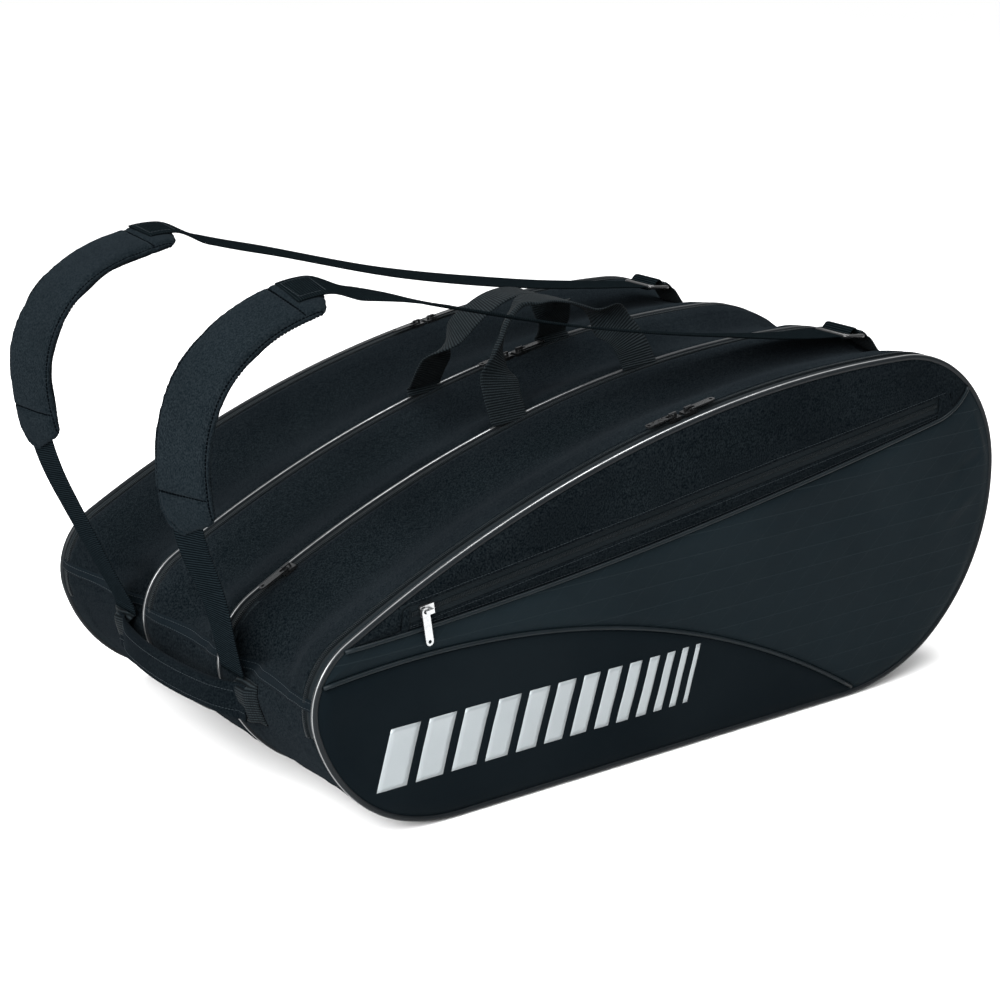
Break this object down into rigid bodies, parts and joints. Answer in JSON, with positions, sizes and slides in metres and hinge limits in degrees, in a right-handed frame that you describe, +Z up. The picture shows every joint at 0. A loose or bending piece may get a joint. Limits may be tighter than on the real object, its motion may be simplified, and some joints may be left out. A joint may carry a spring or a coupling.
{
  "type": "racket tournament bag",
  "caption": "Long wedge-shaped racket bag with padded compartments, zipped side lids, carrying loops, an end handle and padded backpack straps.",
  "frame": {"origin": "on the floor, near the middle of the footprint, at the middle compartment", "axes": "+X towards the high blunt end, -X towards the low rounded nose with the end handle; +Y towards the back compartment, -Y towards the front face with the pocket; +Z up"},
  "size_m": [0.8444, 0.4632, 0.4527],
  "materials": {
    "body_cloth": "matte heathered woven polyester",
    "lining": "matte padded lining",
    "coated_cloth": "satin polyurethane-coated cloth",
    "silver_piping": "glossy metallic binding",
    "face_piping": "satin coated binding",
    "zip_tape": "satin reversed coil tape",
    "webbing": "ribbed webbing",
    "pad_cloth": "matte padded cloth",
    "buckle_plastic": "glossy acetal",
    "dark_metal": "gunmetal",
    "bright_metal": "polished"
  },
  "bodies": {
    "bag": {"front_side_wall": "body_cloth", "middle_side_wall": "body_cloth", "rear_side_wall": "body_cloth", "front_base_panel": "lining", "back_base_panel": "body_cloth", "front_divider": "lining", "rear_divider": "lining", "front_base_piping": "silver_piping", "back_base_piping": "silver_piping", "front_divider_piping": "silver_piping", "rear_divider_piping": "silver_piping", "front_coated_panel_foot": "coated_cloth", "front_arc_panel_foot": "coated_cloth", "arc_piping_foot": "face_piping", "front_wall_zip_tape": "zip_tape", "back_wall_zip_tape": "zip_tape", "front_divider_zip": "zip_tape", "rear_divider_zip": "zip_tape", "front_strap_buckle": "buckle_plastic", "front_strap_anchor": "webbing", "rear_strap_buckle": "buckle_plastic", "rear_strap_anchor": "webbing", "end_handle": "pad_cloth"},
    "front_lid": {"front_lid_panel": "lining", "front_lid_piping": "silver_piping", "front_top_cloth": "body_cloth", "front_coated_panel": "coated_cloth", "front_arc_panel": "coated_cloth", "pocket_piping": "face_piping", "arc_piping": "face_piping", "pocket_zip": "zip_tape", "front_lid_zip_tape": "zip_tape"},
    "back_lid": {"back_lid_panel": "body_cloth", "back_lid_piping": "silver_piping", "back_lid_zip_tape": "zip_tape"},
    "front_strap": {"front_strap_lower_webbing": "webbing", "front_strap_pad": "pad_cloth", "front_strap_upper_webbing": "webbing"},
    "rear_strap": {"rear_strap_lower_webbing": "webbing", "rear_strap_pad": "pad_cloth", "rear_strap_upper_webbing": "webbing"},
    "front_handle": {"front_grab_handle": "webbing"},
    "rear_handle": {"rear_grab_handle": "webbing"},
    "front_zip_left_slider_body": {"front_zip_left_slider": "dark_metal"},
    "front_zip_left_puller_body": {"front_zip_left_puller": "dark_metal"},
    "front_zip_right_slider_body": {"front_zip_right_slider": "dark_metal"},
    "front_zip_right_puller_body": {"front_zip_right_puller": "dark_metal"},
    "rear_divider_zip_left_slider_body": {"rear_divider_zip_left_slider": "dark_metal"},
    "rear_divider_zip_left_puller_body": {"rear_divider_zip_left_puller": "dark_metal"},
    "rear_divider_zip_right_slider_body": {"rear_divider_zip_right_slider": "dark_metal"},
    "rear_divider_zip_right_puller_body": {"rear_divider_zip_right_puller": "dark_metal"},
    "back_zip_left_slider_body": {"back_zip_left_slider": "dark_metal"},
    "back_zip_left_puller_body": {"back_zip_left_puller": "dark_metal"},
    "back_zip_right_slider_body": {"back_zip_right_slider": "dark_metal"},
    "back_zip_right_puller_body": {"back_zip_right_puller": "dark_metal"},
    "front_divider_zip_slider_body": {"front_divider_zip_slider": "dark_metal"},
    "front_divider_zip_puller_body": {"front_divider_zip_puller": "dark_metal"},
    "pocket_slider_body": {"pocket_slider": "bright_metal"},
    "pocket_puller_body": {"pocket_puller": "bright_metal"}
  },
  "joints": [
    {"name": "front_lid_hinge", "type": "hinge", "parent": "bag", "child": "front_lid", "pos_m": [0, -0.231, 0.1], "axis": [1, 0, 0], "range_deg": [0, 80]},
    {"name": "back_lid_hinge", "type": "hinge", "parent": "bag", "child": "back_lid", "pos_m": [0, 0.2286, 0.1], "axis": [-1, 0, 0], "range_deg": [0, 80]},
    {"name": "front_handle_swing", "type": "hinge", "parent": "bag", "child": "front_handle", "pos_m": [-0.08, -0.074, 0.2884], "axis": [0.9811, 0, 0.1936], "range_deg": [0, 31]},
    {"name": "rear_handle_swing", "type": "hinge", "parent": "bag", "child": "rear_handle", "pos_m": [-0.08, 0.06, 0.2884], "axis": [-0.9811, 0, -0.1936], "range_deg": [0, 38]},
    {"name": "front_strap_swing", "type": "hinge", "parent": "bag", "child": "front_strap", "pos_m": [-0.383, -0.098, 0.13], "axis": [0.9569, -0.0355, 0.2884], "range_deg": [-10, 30]},
    {"name": "rear_strap_swing", "type": "hinge", "parent": "bag", "child": "rear_strap", "pos_m": [-0.383, 0.093, 0.13], "axis": [-0.9496, -0.0775, -0.3039], "range_deg": [-15, 30]},
    {"name": "front_zip_left_slide", "type": "hinge", "parent": "bag", "child": "front_zip_left_slider_body", "pos_m": [0.22074, -0.2121, -0.85161], "axis": [0, 1, 0], "range_deg": [-17, 0]},
    {"name": "front_zip_left_puller_lift", "type": "hinge", "parent": "front_zip_left_slider_body", "child": "front_zip_left_puller_body", "pos_m": [-0.00462, -0.2121, 0.3056], "axis": [0, 1, 0], "range_deg": [0, 110]},
    {"name": "front_zip_right_slide", "type": "hinge", "parent": "bag", "child": "front_zip_right_slider_body", "pos_m": [0.22074, -0.2121, -0.85161], "axis": [0, 1, 0], "range_deg": [0, 11]},
    {"name": "front_zip_right_puller_lift", "type": "hinge", "parent": "front_zip_right_slider_body", "child": "front_zip_right_puller_body", "pos_m": [0.01237, -0.2121, 0.30878], "axis": [0, -1, 0], "range_deg": [0, 110]},
    {"name": "rear_divider_zip_left_slide", "type": "hinge", "parent": "bag", "child": "rear_divider_zip_left_slider_body", "pos_m": [0.22074, 0.04915, -0.85161], "axis": [0, 1, 0], "range_deg": [-17, 0]},
    {"name": "rear_divider_zip_left_puller_lift", "type": "hinge", "parent": "rear_divider_zip_left_slider_body", "child": "rear_divider_zip_left_puller_body", "pos_m": [0.00549, 0.04915, 0.30753], "axis": [0, 1, 0], "range_deg": [0, 110]},
    {"name": "rear_divider_zip_right_slide", "type": "hinge", "parent": "bag", "child": "rear_divider_zip_right_slider_body", "pos_m": [0.22074, 0.04915, -0.85161], "axis": [0, 1, 0], "range_deg": [0, 11]},
    {"name": "rear_divider_zip_right_puller_lift", "type": "hinge", "parent": "rear_divider_zip_right_slider_body", "child": "rear_divider_zip_right_puller_body", "pos_m": [0.02251, 0.04915, 0.31056], "axis": [0, -1, 0], "range_deg": [0, 110]},
    {"name": "back_zip_left_slide", "type": "hinge", "parent": "bag", "child": "back_zip_left_slider_body", "pos_m": [0.22074, 0.2121, -0.85161], "axis": [0, 1, 0], "range_deg": [-17, 0]},
    {"name": "back_zip_left_puller_lift", "type": "hinge", "parent": "back_zip_left_slider_body", "child": "back_zip_left_puller_body", "pos_m": [0.01359, 0.2121, 0.309], "axis": [0, 1, 0], "range_deg": [0, 110]},
    {"name": "back_zip_right_slide", "type": "hinge", "parent": "bag", "child": "back_zip_right_slider_body", "pos_m": [0.22074, 0.2121, -0.85161], "axis": [0, 1, 0], "range_deg": [0, 11]},
    {"name": "back_zip_right_puller_lift", "type": "hinge", "parent": "back_zip_right_slider_body", "child": "back_zip_right_puller_body", "pos_m": [0.03063, 0.2121, 0.31191], "axis": [0, -1, 0], "range_deg": [0, 110]},
    {"name": "front_divider_zip_slide", "type": "hinge", "parent": "bag", "child": "front_divider_zip_slider_body", "pos_m": [0.22074, -0.08485, -0.85161], "axis": [0, 1, 0], "range_deg": [-1, 28]},
    {"name": "front_divider_zip_puller_lift", "type": "hinge", "parent": "front_divider_zip_slider_body", "child": "front_divider_zip_puller_body", "pos_m": [-0.31815, -0.08485, 0.19697], "axis": [0, 1, 0], "range_deg": [0, 110]},
    {"name": "pocket_slide", "type": "slide", "parent": "front_lid", "child": "pocket_slider_body", "axis": [0.991, 0, 0.1337], "range_m": [-0.008, 0.575]},
    {"name": "pocket_puller_swing", "type": "hinge", "parent": "pocket_slider_body", "child": "pocket_puller_body", "pos_m": [-0.27731, -0.23265, 0.19071], "axis": [0, -1, 0], "range_deg": [-55, 35]}
  ]
}
